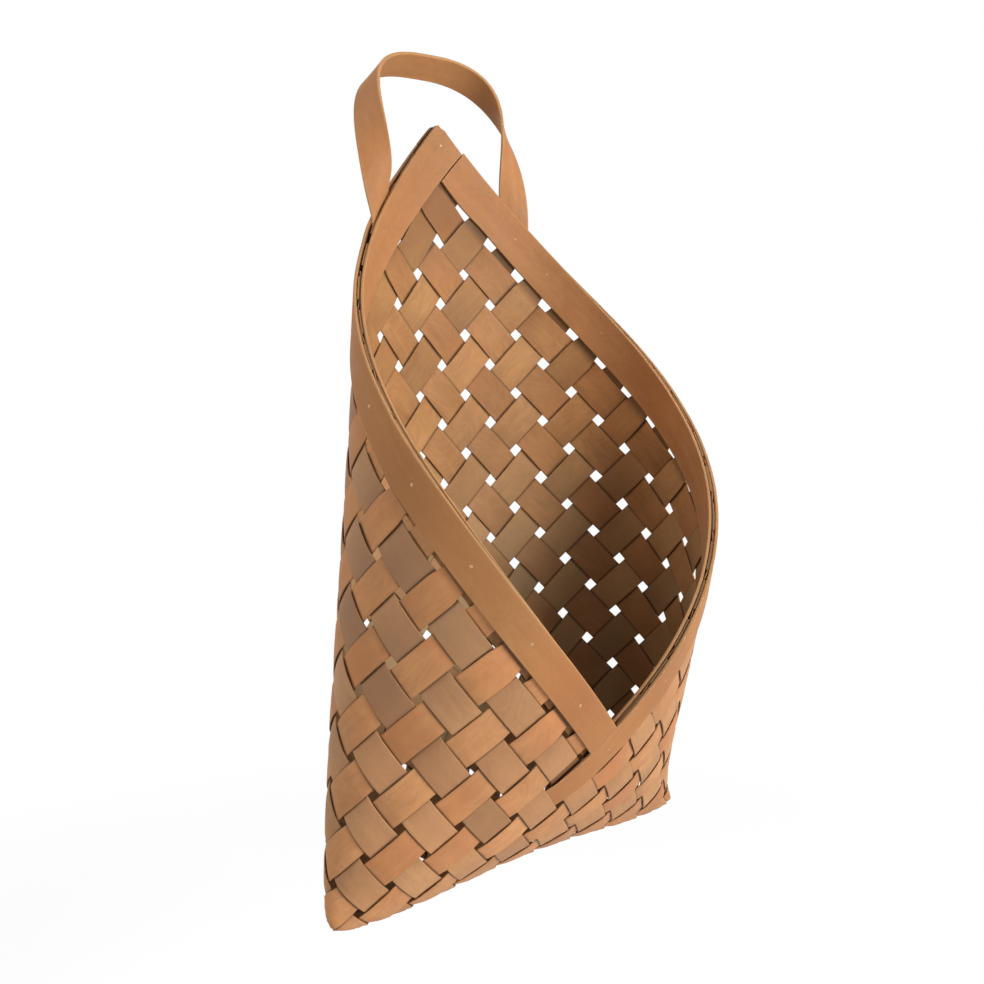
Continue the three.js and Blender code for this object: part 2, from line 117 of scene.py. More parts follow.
# %% Level sections of the sheet
LEVELS = 260
TURNS = 240
COLUMNS = 288
LEVEL_GRADING = 1.7
SPARE_ROWS = 3
HALVINGS = 46
TINY = 1e-12
TOP_HEIGHT = (FOLD_ROW + SPARE_ROWS) * HALF_STEP


def half_sections(heights):
    """x and y of half sections from mid back to mid front, even by arc length.
    Egg: x = w sin t, y = depth cos t (1/2 - lop cos t), moved out along its normal by the fold's
    roundness; w is found by halving until the half girth is right."""
    h = heights[:, None]
    opened = 1 - np.exp(-h / FOOT_ROUND)
    flared = FLARE * FLARE_HEIGHT * (1 - np.exp(-h / FLARE_HEIGHT))
    depth = 2 * (BELLY_HALF * opened + flared)
    under = np.minimum(h, FOLD_RADIUS)
    rounded = np.sqrt(under * (2 * FOLD_RADIUS - under))
    girth = ROUND * HALF_STEP * (1 - FOOT_SQUEEZE * np.exp(-h / SQUEEZE_HEIGHT))
    turn = np.linspace(0, math.pi, TURNS + 1)[None, :]
    sine, cosine = np.sin(turn), np.cos(turn)
    lop = 0.5 - BACK_SHARE

    def trace(width):
        """Sections of given half widths, and the arc length run along each."""
        out_x = depth * sine * (0.5 - 2 * lop * cosine)
        out_y = width * cosine
        size = np.maximum(np.hypot(out_x, out_y), TINY)
        x = width * sine + out_x / size * rounded
        y = depth * cosine * (0.5 - lop * cosine) + out_y / size * rounded
        steps = np.hypot(np.diff(x, axis=1), np.diff(y, axis=1))
        return x, y, np.pad(np.cumsum(steps, axis=1), ((0, 0), (1, 0)))

    narrow, wide = np.zeros_like(girth), girth.copy()
    for _ in range(HALVINGS):
        guess = (narrow + wide) / 2
        too_long = trace(guess)[2][:, -1:] > girth
        wide = np.where(too_long, guess, wide)
        narrow = np.where(too_long, narrow, guess)
    x, y, run = trace(narrow)
    middle = -FOLD_SETBACK * (1 - opened) - rounded - BACK_SHARE * depth
    even = np.linspace(0, 1, COLUMNS + 1)
    return [np.array([np.interp(even * r[-1], r, row) for row, r in zip(rows, run)])
            for rows in (x, y + middle)]


levels = TOP_HEIGHT * np.linspace(0, 1, LEVELS + 1) ** LEVEL_GRADING
level_x, level_y = half_sections(levels)
fold_half = level_x[0].max()
level_z = levels[:, None] + FOLD_ARCH * (1 - (level_x / fold_half) ** 2)
level_points = np.stack([level_x, level_y, level_z], axis=-1)
print("fold", round(2 * fold_half * 1000), "mm long, widest", round(2 * level_x.max() * 1000))

# %% [markdown]
# ## Places on the sheet
# Every piece asks for the point that lies so many half steps round the basket and so far up from
# the fold. It is read from a table with even steps both ways. Below the fold the other sheet goes
# on, so a splint can run down the back and up the front. The columns that start at the tips of the
# fold are a little short, so the lengths are evened out higher up, as bent rims have no such step.

# %% Table of the sheet
UPS = 640
EASE_COLUMNS = 17
EASE_PASSES = 2
EASE_HEIGHT = PITCH


def running_mean(grid, reach, axis, ends):
    """Mean of each place and its neighbours within reach along an axis, by differences of sums.
    Ends says how the grid goes on past both ends."""
    rows = np.moveaxis(grid, axis, 0)
    others = [(0, 0)] * (grid.ndim - 1)
    padded = np.pad(rows, [(reach, reach)] + others, mode=ends)
    sums = np.cumsum(np.pad(padded, [(1, 0)] + others), axis=0)
    count = 2 * reach + 1
    return np.moveaxis((sums[count:] - sums[:-count]) / count, 0, axis)


climb = np.linalg.norm(np.diff(level_points, axis=0), axis=-1)
climb = np.pad(np.cumsum(climb, axis=0), ((1, 0), (0, 0)))
even_climb = climb
for _ in range(EASE_PASSES):
    even_climb = running_mean(even_climb, EASE_COLUMNS, 1, "reflect")
climb = climb + (1 - np.exp(-levels / EASE_HEIGHT))[:, None] * (even_climb - climb)
drawn_up = (level_x / fold_half) ** TIP_POWER * np.exp(-levels[:, None] / TIP_HEIGHT)
level_points[..., 2] += TIP_RISE * drawn_up
UP_END = climb[-1].min()
even_ups = np.linspace(0, UP_END, UPS + 1)
sheet_table = np.stack(
    [[np.interp(even_ups, climb[:, c], level_points[:, c, k]) for c in range(COLUMNS + 1)]
     for k in range(3)], axis=-1)
print("sheet table", sheet_table.shape, "up to", round(UP_END * 1000), "mm of sheet")

# %% [markdown]
# Points between those of the table are blended, and the slopes of the sheet give its normal. In the
# weave a place is named by its lane, counted from the left rim, and its row, from the right rim.

# %% Points and normals
SLOPE_REACH = PITCH / 10
TABLE_MARGIN = 1e-6


def wrap(around):
    """Half steps from the middle of the back less whole turns, so from -ROUND to ROUND."""
    return around - 2 * ROUND * np.round(around / (2 * ROUND))


def sheet_point(around, up):
    """Point of the sheet, by straight blends between the four nearest table points."""
    around, up = np.broadcast_arrays(np.asarray(around, float), np.asarray(up, float))
    wrapped = wrap(np.where(up < 0, ROUND - around, around))
    column = np.clip(np.abs(wrapped) / ROUND * COLUMNS, 0, COLUMNS - TABLE_MARGIN)
    level = np.clip(np.abs(up) / UP_END * UPS, 0, UPS - TABLE_MARGIN)
    c, u = column.astype(int), level.astype(int)
    a, b = (column - c)[..., None], (level - u)[..., None]
    low = sheet_table[c, u] * (1 - a) + sheet_table[c + 1, u] * a
    high = sheet_table[c, u + 1] * (1 - a) + sheet_table[c + 1, u + 1] * a
    point = low * (1 - b) + high * b
    point[..., 0] *= np.where(wrapped < 0, -1, 1)
    return point


def unit(vectors):
    """Vectors of length one."""
    return vectors / np.maximum(np.linalg.norm(vectors, axis=-1, keepdims=True), TINY)


def sheet_normal(around, up):
    """Outward normal: the slope upwards crossed with the slope around."""
    side = SLOPE_REACH / HALF_STEP
    across = sheet_point(around + side, up) - sheet_point(around - side, up)
    rise = sheet_point(around, up + SLOPE_REACH) - sheet_point(around, up - SLOPE_REACH)
    return unit(np.cross(rise, across))


def sheet_place(lane, row):
    """Half steps round and up from the fold: lane - row, and what both leave of the fold's row.
    Below the fold the place is on the other sheet."""
    lane, row = np.broadcast_arrays(np.asarray(lane, float), np.asarray(row, float))
    around, up = lane - row, FOLD_ROW - lane - row
    return np.where(up < 0, ROUND - around, around), np.abs(up)


def weave_spot(lane, row):
    """Point and normal at a place in the weave."""
    around, up = sheet_place(lane, row)
    return sheet_point(around, up * HALF_STEP), sheet_normal(around, up * HALF_STEP)


def rim_depth(lane, row):
    """Pitches below the edge of the mouth: the lane on the left half, the row on the right half.
    It is under zero inside the rims."""
    around, up = sheet_place(lane, row)
    return (FOLD_ROW - up - np.abs(wrap(around))) / 2


def smooth(share):
    """Smooth step from 0 to 1: s = x x (3 - 2 x), clamped."""
    share = np.clip(share, 0, 1)
    return share * share * (3 - 2 * share)


print("peak of the sheet, mm:", np.round(weave_spot(BAND_HIGH, BAND_HIGH)[0] * 1000, 1))

# %% [markdown]
# ## The loop's path and the origin
# The loop is what the basket hangs by, so the origin of the frame is the middle of the underside of
# its crown. The path is worked out first, because it gives the shift from the sheet to the frame.

# %% Path of the loop
STRAP_WIDTH = 0.0175
STRAP_THICK = 0.002
LEG_SPREAD = 2.05 * PITCH
LEG_MARGIN = 0.1 * PITCH
LEG_LIFT = 0.00085
LOOP_RISE = 3.24 * PITCH
LOOP_LEAN = 0.91 * PITCH
CROWN_FLAT = 0.01
CROWN_TILT = math.radians(34)

LEG_AROUND = -LEG_SPREAD / HALF_STEP
LEG_TOP_ROW = 2 * BAND_HIGH - LEG_MARGIN / HALF_STEP
LEG_TOP_UP = (FOLD_ROW - LEG_TOP_ROW + LEG_AROUND) * HALF_STEP
leg_normal = sheet_normal(LEG_AROUND, LEG_TOP_UP)
leg_top = sheet_point(LEG_AROUND, LEG_TOP_UP) + leg_normal * LEG_LIFT
crown = np.array([-CROWN_FLAT / 2, leg_top[1] + LOOP_LEAN, leg_top[2] + LOOP_RISE])
crown_facing = np.array([0, -math.sin(CROWN_TILT), -math.cos(CROWN_TILT)])
SHIFT = -np.array([0, crown[1], crown[2]]) - crown_facing * STRAP_THICK / 2
print("shift from the sheet to the frame, mm:", np.round(SHIFT * 1000, 2))

# %% [markdown]
# ## Ribbons
# Splints, bands and the loop are all ribbons: a thin section carried along a path. The section is a
# loop of points with softened edges. Carrying it along gives a grid of points, and the two ends are
# closed with quads. Each point also keeps two lengths for the grain, along and across, and four
# shares for the finish: how near it is to an edge, whether it is on the outside, its tone, and its
# share of painted shade, in the crevices of the weave and where weave and bands meet. A fifth number
# is the tint of the piece, from tan to red.

# %% Section and faces of a ribbon
FACE_STEPS = 8
EDGE_STEPS = 3
EDGE_BLEND = 0.0008


def ribbon_section(width, thick, edge):
    """Places across and heights of a flat section with rounded edges, once round from the left.
    Faces are straight; each corner is a quarter circle of radius edge."""
    half, tall = width / 2, thick / 2
    flat = np.linspace(-(half - edge), half - edge, FACE_STEPS + 1)
    flat[1], flat[-2] = flat[0] + EDGE_BLEND, flat[-1] - EDGE_BLEND
    bend = np.linspace(0, math.pi / 2, EDGE_STEPS + 1)[1:]
    right_x = half - edge + edge * np.sin(bend)
    right_h = tall - edge + edge * np.cos(bend)
    top_x = np.concatenate([-right_x[::-1], flat, right_x])
    top_h = np.concatenate([right_h[::-1], np.full(flat.size, tall), right_h])
    return np.concatenate([top_x, top_x[::-1]]), np.concatenate([top_h, -top_h[::-1]])


def ribbon_faces(stations, around):
    """Quads of a grid that closes round the section, with quads across both ends."""
    s, k = np.meshgrid(np.arange(stations - 1), np.arange(around), indexing="ij")
    nxt = (k + 1) % around
    here, ahead = s * around, (s + 1) * around
    sides = np.stack([here + k, here + nxt, ahead + nxt, ahead + k], -1)
    e = np.arange(around // 2 - 1)
    start = np.stack([e, around - 1 - e, around - 2 - e, e + 1], -1)
    end = (stations - 1) * around + start[:, ::-1]
    return np.concatenate([sides.reshape(-1, 4), start, end])


print("points round one splint:", ribbon_section(SPLINT_WIDTH, SPLINT_THICK, SPLINT_EDGE)[0].size)

# %% [markdown]
# Points and faces go into a mesh that sits at the origin. Its faces have to point outwards, so they
# are turned where the volume that they enclose comes out negative.

# %% Mesh of a ribbon
SMOOTH_LIMIT = math.radians(50)


def signed_volume(points, quads):
    """Six times the enclosed volume; negative when the faces point in."""
    a, b, c, d = (points[quads[:, k]] for k in range(4))
    return np.einsum("ij,ij->", a, np.cross(b, c)) + np.einsum("ij,ij->", a, np.cross(c, d))


def add_object(name, data):
    """Object of a mesh, a lamp or a camera, linked into the scene."""
    made = bpy.data.objects.new(name, data)
    bpy.context.scene.collection.objects.link(made)
    return made


def link_mesh(name, mesh):
    """Object at the origin for a mesh, shaded smooth up to a limit of angle."""
    mesh.polygons.foreach_set("use_smooth", np.ones(len(mesh.polygons), bool))
    mesh.set_sharp_from_angle(angle=SMOOTH_LIMIT)
    mesh.update()
    return add_object(name, mesh)


def ribbon_mesh(name, points, quads, grain, shares, tint):
    """Object from points and quads, with a UV map in metres, a colour of shares and a tint."""
    if signed_volume(points, quads) < 0:
        quads = quads[:, ::-1]
    mesh = bpy.data.meshes.new(name)
    mesh.from_pydata(points, [], quads.tolist())

    def put(layer, key, values):
        """Whole array into one layer."""
        layer.data.foreach_set(key, values.astype(np.float32).ravel())

    put(mesh.uv_layers.new(name="grain"), "uv", grain[quads.ravel()])
    put(mesh.attributes.new("finish", "FLOAT_COLOR", "POINT"), "color", shares)
    put(mesh.attributes.new("tint", "FLOAT", "POINT"), "value", tint)
    return link_mesh(name, mesh)


def ribbon(name, middle, normal, lift, section, along, tone, painted_shade, tint):
    """Ribbon through a grid of middle points, stations by section places.
    Each point is the middle plus its normal times the lift and the height in the section."""
    places, heights = section
    points = middle + normal * (lift + heights)[..., None] + SHIFT
    grid = points.shape[:2]
    half = np.abs(places).max()
    edge = np.clip(1 - (half - np.abs(places)) / EDGE_BLEND, 0, 1)
    outer = (heights > 0).astype(float)
    # The fourth share is painted shade.
    shares = np.stack([np.broadcast_to(s, grid) for s in (edge, outer, tone, painted_shade)], -1)
    girth = places + np.where(heights > 0, 0, 2 * half)
    grain = np.stack([np.broadcast_to(g, grid) for g in (along[:, None], girth)], -1)
    return ribbon_mesh(name, points.reshape(-1, 3), ribbon_faces(*grid), grain.reshape(-1, 2),
                       shares.reshape(-1, 4), np.broadcast_to(tint, grid))


print("ribbon helpers ready")

# %% [markdown]
# ## Finishes
# Chip wood is pale brown with fine fibres along the splint, soft clouded figure and darker streaks.
# A picture of wood could be wrapped on, but nodes keep the grain at its true scale on every splint.
# The grain reads the UV map in metres, so it always runs along the piece.

# %% Node helpers
def empty_tree(owner):
    """Node tree of a material or a world, cleared."""
    owner.use_nodes = True
    owner.node_tree.nodes.clear()
    return owner.node_tree


def add_node(tree, kind, settings=None, inputs=None):
    """New node with its settings and unlinked input values."""
    made = tree.nodes.new(kind)
    for key, value in (settings or {}).items():
        setattr(made, key, value)
    for key, value in (inputs or {}).items():
        made.inputs[key].default_value = value
    return made


def feed(tree, socket, value):
    """Give a socket its value: a link from another socket, or a plain number or colour."""
    if isinstance(value, bpy.types.NodeSocket):
        tree.links.new(value, socket)
    else:
        socket.default_value = value


def noise_of(tree, source, scale, detail, roughness, distortion=0.0):
    """Noise on a vector that is stretched by a scale of its own each way."""
    stretch = add_node(tree, "ShaderNodeMapping", inputs={"Scale": (*scale, 1)})
    tree.links.new(source, stretch.inputs["Vector"])
    noise = add_node(tree, "ShaderNodeTexNoise", inputs={
        "Scale": 1, "Detail": detail, "Roughness": roughness, "Distortion": distortion})
    tree.links.new(stretch.outputs["Vector"], noise.inputs["Vector"])
    return noise.outputs["Fac"]


def remap(tree, value, low, high, to_low=0.0, to_high=1.0):
    """Value stretched from one range to another, clamped."""
    node = add_node(tree, "ShaderNodeMapRange", inputs={
        "From Min": low, "From Max": high, "To Min": to_low, "To Max": to_high})
    tree.links.new(value, node.inputs["Value"])
    return node.outputs["Result"]


def blend_colour(tree, share, first, second, mode="MIX"):
    """Mix of two colours, each a socket or a plain colour. The node's colours are inputs 6 and 7."""
    node = add_node(tree, "ShaderNodeMix", {"data_type": "RGBA", "blend_type": mode})
    for place, value in ((0, share), (6, first), (7, second)):
        feed(tree, node.inputs[place], value)
    return node.outputs[2]


def calc(tree, operation, *numbers):
    """Sum, product or maximum of numbers, taken one after the other."""
    total = numbers[0]
    for number in numbers[1:]:
        node = add_node(tree, "ShaderNodeMath", {"operation": operation})
        feed(tree, node.inputs[0], total)
        feed(tree, node.inputs[1], number)
        total = node.outputs[0]
    return total


def surface(tree, colour, roughness, relief, bump, shine):
    """Shader of a colour, a roughness and a relief; bump and shine hold its plain inputs."""
    bumps = add_node(tree, "ShaderNodeBump", inputs=bump)
    shader = add_node(tree, "ShaderNodeBsdfPrincipled", inputs=shine)
    output = add_node(tree, "ShaderNodeOutputMaterial")
    tree.links.new(relief, bumps.inputs["Height"])
    tree.links.new(colour, shader.inputs["Base Color"])
    tree.links.new(roughness, shader.inputs["Roughness"])
    tree.links.new(bumps.outputs["Normal"], shader.inputs["Normal"])
    tree.links.new(shader.outputs["BSDF"], output.inputs["Surface"])


def srgb(red, green, blue):
    """Linear colour from the 0 to 255 values that a screen shows, by the standard screen curve."""
    share = np.array([red, green, blue]) / 255
    linear = np.where(share <= 0.04045, share / 12.92, ((share + 0.055) / 1.055) ** 2.4)
    return (*linear.tolist(), 1.0)


print("node helpers ready")

# %% [markdown]
# The wood itself: a body colour clouded by slow noise, with faint fibres from noise that is
# stretched along the piece, darker streaks, and a turned figure from the sine of a bent noise.

# %% Grain of the wood
# Each noise has scales along and across, a detail, a roughness and a distortion.
FIBRES = ((22, 1100), 4, 0.6)
STREAKS = ((9, 170), 3, 0.55, 0.6)
CLOUDS = ((45, 70), 3, 0.55, 0.9)
PATCHES = ((17, 24), 2, 0.5)
SWIRLS = ((24, 40), 2, 0.45, 1.4)
FIGURE_TURNS = 58.0
MID_NOISE = (0.3, 0.7)
# Each range gives a share by noise, height, side or face: from, to, and the share at either end.
LIGHT_BY_FIBRE = (*MID_NOISE, 0.0, 0.16)
LIGHT_BY_STREAK = (*MID_NOISE, 0.0, 0.24)
LIGHT_BY_CLOUD = (0.25, 0.75, 0.0, 0.48)
LIGHT_BY_FIGURE = (-1, 1, 0.0, 0.14)


def wood_noises(tree):
    """Fibres, streaks, clouds, patches and figure, as numbers on the grain map.
    The figure is the sine of a slow noise, so its stripes bend as the noise does."""
    grain = add_node(tree, "ShaderNodeUVMap", {"uv_map": "grain"}).outputs["UV"]
    kinds = (FIBRES, STREAKS, CLOUDS, PATCHES, SWIRLS)
    fibres, streaks, clouds, patches, swirls = (noise_of(tree, grain, *kind) for kind in kinds)
    figure = add_node(tree, "ShaderNodeMath", {"operation": "SINE"})
    tree.links.new(calc(tree, "MULTIPLY", swirls, FIGURE_TURNS), figure.inputs[0])
    return fibres, streaks, clouds, patches, figure.outputs[0]


def body_colour(tree, noises, light, dark):
    """Blend from dark to light by the sum of the shares of fibres, streaks, clouds and figure."""
    fibres, streaks, clouds, _, figure = noises
    share = calc(tree, "ADD", remap(tree, fibres, *LIGHT_BY_FIBRE),
                 remap(tree, streaks, *LIGHT_BY_STREAK), remap(tree, clouds, *LIGHT_BY_CLOUD),
                 remap(tree, figure, *LIGHT_BY_FIGURE))
    return blend_colour(tree, share, dark, light)


print("grain of fibres, streaks, clouds and figure ready")

# %% [markdown]
# Age and painted light and shade lie over the body in layers. A reddish tint differs from piece to
# piece. Weathering greys the outer face, most of all high on the left of the front. A pale grey
# colour on the inner faces deep in the pocket is painted light that lifts their shade, and painted
# shade darkens the inside under the peak. Edges are worn on the bands, and on the splints they are a
# little darker, which is painted shade. Painted shade gathers where a splint dives under its
# neighbour, so the crevices are darker.

# %% Wood finish
RED_BY_PATCH = (*MID_NOISE, 0.5, 1.0)
RED_BY_FACE = (0, 1, 0.5, 1.0)
WEATHER_BY_HEIGHT = (-0.42, -0.25, 0.4, 1.0)
WEATHER_BY_SIDE = (-0.11, 0.05, 1.0, 0.3)
WEATHER_BY_PATCH = (0.3, 0.6, 0.5, 1.0)
WORN_BY_STREAK = (0.35, 0.6, 0.35, 0.8)
ROUGH_BY_CLOUD = (*MID_NOISE, 0.55, 0.72)
# Painted light: between these heights a pale grey colour lifts the shade of the inner faces deep in
# the pocket.
POCKET_LIGHT_HEIGHTS = (-0.31, -0.2)
# Painted shade: between these heights the inner faces under the peak are darkened.
PEAK_SHADE_HEIGHTS = (-0.12, -0.085)
TONES = (0.72, 1.12)
CREVICE_SHADE = 0.36
FIBRE_RELIEF = 0.5
# Colour of the painted light on the inner faces deep in the pocket.
POCKET_LIGHT = srgb(186, 163, 130)


def wood_layers(tree, noises, shares, light, dark, red, weathered, worn, weather, dust, handled):
    """Colours blended one over the other: body, red tint, weathering, painted light deep in the
    pocket, painted shade under the peak, and edges, worn on the bands and darkened by painted shade
    on the splints. Each layer's share is a product of ranges; edge and outer are shares kept in the
    mesh."""
    edge, outer, _ = shares
    _, streaks, _, patches, _ = noises
    where = add_node(tree, "ShaderNodeSeparateXYZ")
    tree.links.new(add_node(tree, "ShaderNodeTexCoord").outputs["Object"], where.inputs[0])
    side, height = where.outputs["X"], where.outputs["Z"]
    tint = add_node(tree, "ShaderNodeAttribute", {"attribute_name": "tint"}).outputs["Fac"]
    inner = remap(tree, outer, 0, 1, 1.0, 0.0)
    layers = (
        (red, tint, remap(tree, patches, *RED_BY_PATCH), remap(tree, outer, *RED_BY_FACE)),
        (weathered, remap(tree, height, *WEATHER_BY_HEIGHT), remap(tree, side, *WEATHER_BY_SIDE),
         weather, outer, remap(tree, patches, *WEATHER_BY_PATCH)),
        # Painted light that lifts the shade of the inner faces deep in the pocket.
        (POCKET_LIGHT, inner, remap(tree, height, *POCKET_LIGHT_HEIGHTS, dust, 0.0)),
        # Painted shade that darkens the inner faces under the peak.
        (dark, inner, remap(tree, height, *PEAK_SHADE_HEIGHTS, 0.0, handled)),
        # Edges: a paler worn colour on the bands, and on the splints a slightly darker colour that is
        # painted shade.
        (worn, edge, remap(tree, streaks, *WORN_BY_STREAK)),
    )
    colour = body_colour(tree, noises, light, dark)
    for over, *parts in layers:
        colour = blend_colour(tree, calc(tree, "MULTIPLY", *parts), colour, over)
    return colour


def wood_finish(name, inside, outside, **look):
    """Layers of colour times the tone of the piece, the painted shade of its crevices and a factor
    for each face, on a satin surface with raised fibres and streaks. On the splints that factor is
    painted shade on the inner faces and painted light on the outer ones."""
    material = bpy.data.materials.new(name)
    tree = empty_tree(material)
    finish = add_node(tree, "ShaderNodeAttribute", {"attribute_name": "finish"})
    split = add_node(tree, "ShaderNodeSeparateColor")
    tree.links.new(finish.outputs["Color"], split.inputs["Color"])
    shares = _, outer, tone = tuple(split.outputs)
    noises = fibres, streaks, clouds, _, _ = wood_noises(tree)
    colour = wood_layers(tree, noises, shares, **look)
    shade = calc(tree, "MULTIPLY", remap(tree, tone, 0, 1, *TONES),
                 remap(tree, finish.outputs["Alpha"], 0, 1, 1.0, CREVICE_SHADE))
    grey = add_node(tree, "ShaderNodeCombineColor")
    for channel in grey.inputs:
        tree.links.new(shade, channel)
    # Inner and outer faces get factors of their own: on the splints painted shade inside, painted
    # light outside.
    for factor in (grey.outputs["Color"], blend_colour(tree, outer, inside, outside)):
        colour = blend_colour(tree, 1.0, colour, factor, "MULTIPLY")
    relief = calc(tree, "ADD", calc(tree, "MULTIPLY", fibres, FIBRE_RELIEF), streaks)
    surface(tree, colour, remap(tree, clouds, *ROUGH_BY_CLOUD), relief,
            {"Strength": 0.3, "Distance": 0.0002}, {"Specular IOR Level": 0.3})
    return material


print("layers of age ready")

# %% [markdown]
# The two sets of splints differ: one has weathered to a greyish brown and the other has stayed warm.
# The bands and the loop are planed from plainer stock with pale edges.

# %% Three woods
# Painted shade on the inner faces of the splints and painted light on their outer faces, both with a
# slight shift of colour, and painted shade inside under the peak. Each wood below also sets how
# strongly painted light lifts the inner faces deep in the pocket.
SPLINT_FACE_SHADING = {"inside": (0.83, 0.83, 0.74, 1), "outside": (1.06, 1.08, 1.11, 1), "handled": 0.9}
# The splints' edge colour is a little darker than their body: painted shade along their edges.
GREY_SPLINT = wood_finish(
    "grey_splint", light=srgb(206, 153, 103), dark=srgb(161, 111, 68), red=srgb(190, 126, 79),
    weathered=srgb(158, 119, 87), worn=srgb(172, 124, 82), weather=0.85, dust=0.65, **SPLINT_FACE_SHADING)
WARM_SPLINT = wood_finish(
    "warm_splint", light=srgb(206, 150, 100), dark=srgb(158, 104, 62), red=srgb(190, 116, 68),
    weathered=srgb(196, 136, 86), worn=srgb(170, 116, 72), weather=0.5, dust=0.35, **SPLINT_FACE_SHADING)
BAND_WOOD = wood_finish(
    "band_wood", light=srgb(198, 140, 89), dark=srgb(164, 109, 64), red=srgb(188, 118, 68),
    weathered=srgb(180, 125, 79), worn=srgb(204, 156, 108), weather=0.5, dust=0.4, handled=0.0,
    inside=(0.95, 0.95, 0.95, 1), outside=(0.92, 0.92, 0.87, 1))
print("finishes:", [m.name for m in (GREY_SPLINT, WARM_SPLINT, BAND_WOOD)])

# %% [markdown]
# ## Splints
# A splint runs from one rim down its sheet, turns under the fold and climbs the other sheet to the
# same rim. It passes over and under its neighbours, so its height swings between two levels. The
# swing is a smooth step at each gap, and the points lie closer together there. A few slow sine waves
# keep any two splints from being quite alike.

# %% Over and under
SWING_REACH = 0.24
CELL_STOPS = np.array([0, 0.05, 0.075, 0.1, 0.13, 0.17, 0.24, 0.36,
                       0.5, 0.64, 0.76, 0.83, 0.87, 0.9, 0.925, 0.95])
END_MARGIN = 0.01
WAVE_PERIODS = (3.1, 5.3, 8.9)
GRAIN_STARTS = 9
SEED = 7
chance = np.random.default_rng(SEED)


def slow_wave(run, size, periods=WAVE_PERIODS):
    """Mean of three sines of random phase along a run counted in pitches, times a size."""
    phases = chance.uniform(0, 2 * math.pi, len(periods))
    waves = [np.sin(2 * math.pi * run / period + phase) for period, phase in zip(periods, phases)]
    return size * np.sum(waves, axis=0) / len(periods)


def wavy_share(run, mean, size, periods=WAVE_PERIODS):
    """A mean plus a slow wave, clamped to 0 and 1."""
    return np.clip(mean + slow_wave(run, size, periods), 0, 1)


def cell_sign(cell, first_sign, tucked):
    """+1 where the splint passes outside in a cell of the weave, -1 where it passes inside."""
    sign = np.where(cell % 2 == 0, first_sign, -first_sign)
    return np.where(tucked & (cell < 0), -1, sign)


def over_under(run, first_sign, tucked):
    """Sign that swings smoothly from one crossing to the next: +1 outside, -1 inside."""
    boundary = np.round(run)
    share = smooth((run - boundary) / (2 * SWING_REACH) + 0.5)
    before, after = (cell_sign(boundary - k, first_sign, tucked) for k in (1, 0))
    return before * (1 - share) + after * share


def stations(start, stop):
    """Places along a splint, closer together where it dives under its neighbours."""
    cells = np.arange(math.floor(start), math.ceil(stop))
    places = (cells[:, None] + CELL_STOPS).ravel()
    inside = places[(places > start + END_MARGIN) & (places < stop - END_MARGIN)]
    return np.concatenate([[start], inside, [stop]])


print("stations in ten pitches:", stations(0, 10).size)

# %% [markdown]
# Each crossing bulges a little and the section is cupped, as a stiff splint is. Between the bands of
# the rims the splints are pressed flat, and narrower but for the two that go on as borders there.
# The first splint closes the corner under the peak, and dips on the front to leave a slit beside the
# tail of the rim, and painted shade darkens that slit. Painted shade in the crevices and on the inner
# faces below the inner bands is worked out here too, as it follows the weave.

# %% One splint
WIDTH_SPREAD = (0.97, 1.03)
SWING = 0.00066
RIM_SWING = 0.00043
BULGE = 0.00014
CUP = 0.00012
WANDER = 0.00045
ROCK = 0.014
RIM_NARROW = 0.86
RIM_FROM = -0.1
RIM_EASE = 0.4
BORDER_WIDE = 0.95
BORDER_RISE = 0.05
BORDER_FROM = 0.3
PROBE = 0.1
CORNER_SHIFT = 0.11
CORNER_STOP = 2
CORNER_EASE = 1.2
SLIT_RUN = 16.99
SLIT_REACH = 0.1
SLIT_DEEP = 0.0025
CREVICE_FROM = 0.045
CREVICE_REACH = 0.05
RIM_SHADE = 0.26
RIM_SHADES = (0.85, 0.3)
TONE_SPREAD = (0.55, 0.16)
TONE_WAVE = (0.3, (1.7, 2.9, 4.3))
TINT_SPREAD = (0.3, 0.25)
TINT_WAVE = (0.5, (2.3, 3.7, 6.1))


def splint_shade(run, heights, depth, on_right, slit, first_sign, tucked):
    """Share of shade: a smooth step into each cell where the face passes under a neighbour, the slit,
    and on inner faces a step of the depth below the inner bands."""
    to_edge = np.abs(run - np.round(run))
    hidden = np.where(heights > 0, -1, 1) * cell_sign(np.floor(run), first_sign, tucked)
    # Painted shade where the face dives under its neighbour.
    painted_shade = smooth((hidden * to_edge - CREVICE_FROM) / CREVICE_REACH)
    # Painted shade on the inner faces below the inner bands, stronger on the right.
    under_band = smooth((RIM_SHADE - depth) / RIM_SHADE) * (heights < 0)
    under_band = under_band * np.where(on_right, *RIM_SHADES)
    return np.maximum(np.maximum(painted_shade, slit), under_band)


